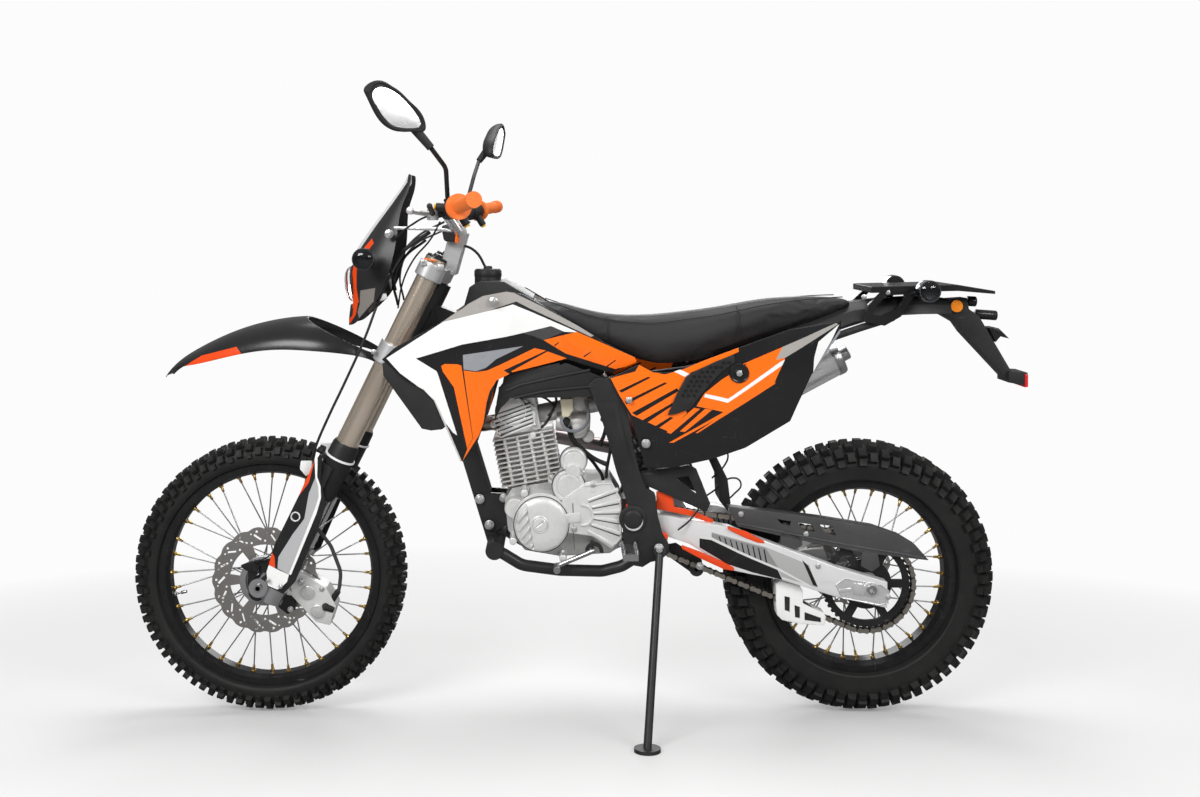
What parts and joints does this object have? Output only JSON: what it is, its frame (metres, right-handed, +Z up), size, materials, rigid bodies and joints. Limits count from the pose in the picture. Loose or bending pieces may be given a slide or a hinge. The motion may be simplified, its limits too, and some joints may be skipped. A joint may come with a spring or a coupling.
{
  "type": "enduro dirt bike",
  "caption": "Single-cylinder enduro dirt bike with knobbly spoked wheels, high fenders, orange panels and road lamps, leaning on its side stand.",
  "frame": {"origin": "on the floor, below the middle of the parked bike's box", "axes": "+X from the front wheel to the rear wheel, +Y to the rider's right, +Z up"},
  "size_m": [2.2624, 0.9058, 1.5883],
  "materials": {
    "alloy": "satin",
    "black_plastic": "matt",
    "chain": "oiled",
    "exhaust": "heat-tinted",
    "frame_paint": "gloss",
    "gold": "anodised",
    "orange": "gloss",
    "orange_rubber": "matt",
    "rim": "satin",
    "rubber": "matt",
    "silver_paint": "satin",
    "steel": "brushed",
    "tyre": "matt",
    "vinyl": "grained",
    "white_plastic": "gloss"
  },
  "bodies": {
    "chassis": {"carburettor": "alloy", "chain": "chain", "chain_covers": "black_plastic", "crankcase": "silver_paint", "cylinder": "alloy", "cylinder_head": "silver_paint", "engine_covers": "silver_paint", "exhaust_header": "exhaust", "foot_controls": "steel", "frame_backbone": "frame_paint", "frame_cradle": "frame_paint", "frame_down_tube": "frame_paint", "frame_side_spars": "frame_paint", "front_sprocket": "steel", "fuel_tank": "black_plastic", "grab_rails": "black_plastic", "lower_covers": "black_plastic", "plate_carrier": "black_plastic", "rear_axle": "steel", "rear_caliper": "alloy", "rear_fender": "black_plastic", "rear_shock": "steel", "seat": "vinyl", "side_panels": "orange", "silencer": "alloy", "subframe": "frame_paint", "swingarm": "silver_paint", "tank_shrouds": "orange"},
    "steering": {"triple_clamps": "alloy", "fork_tubes": "gold", "fork_legs": "alloy", "fork_guards": "black_plastic", "handlebar": "alloy", "grips": "orange_rubber", "bar_controls": "black_plastic", "mirrors": "black_plastic", "headlight_mask": "orange", "headlamp": "white_plastic", "front_fender": "black_plastic", "front_indicators": "black_plastic", "front_caliper": "alloy", "front_axle": "steel", "brake_hose": "rubber"},
    "front_wheel": {"front_tyre": "tyre", "front_rim": "rim", "front_hub": "alloy", "front_disc": "steel"},
    "rear_wheel": {"rear_tyre": "tyre", "rear_rim": "rim", "rear_hub": "alloy", "rear_disc": "steel", "rear_sprocket": "steel"},
    "side_stand": {"side_stand": "steel"}
  },
  "joints": [
    {"name": "steering_turn", "type": "hinge", "parent": "chassis", "child": "steering", "pos_m": [-0.45348, 0.08203, 0.87354], "axis": [0.4384, -0.1406, 0.8877], "range_deg": [-42, 42]},
    {"name": "front_wheel_spin", "type": "hinge", "parent": "steering", "child": "front_wheel", "pos_m": [-0.78515, 0.16568, 0.34541], "axis": [0, 0.9877, 0.1564], "continuous": true},
    {"name": "rear_wheel_spin", "type": "hinge", "parent": "chassis", "child": "rear_wheel", "pos_m": [0.70985, 0.16612, 0.34258], "axis": [0, 0.9877, 0.1564], "continuous": true},
    {"name": "side_stand_fold", "type": "hinge", "parent": "chassis", "child": "side_stand", "pos_m": [0.19235, 0.01041, 0.41801], "axis": [0, 0.9957, -0.0924], "range_deg": [-118, 0]}
  ]
}
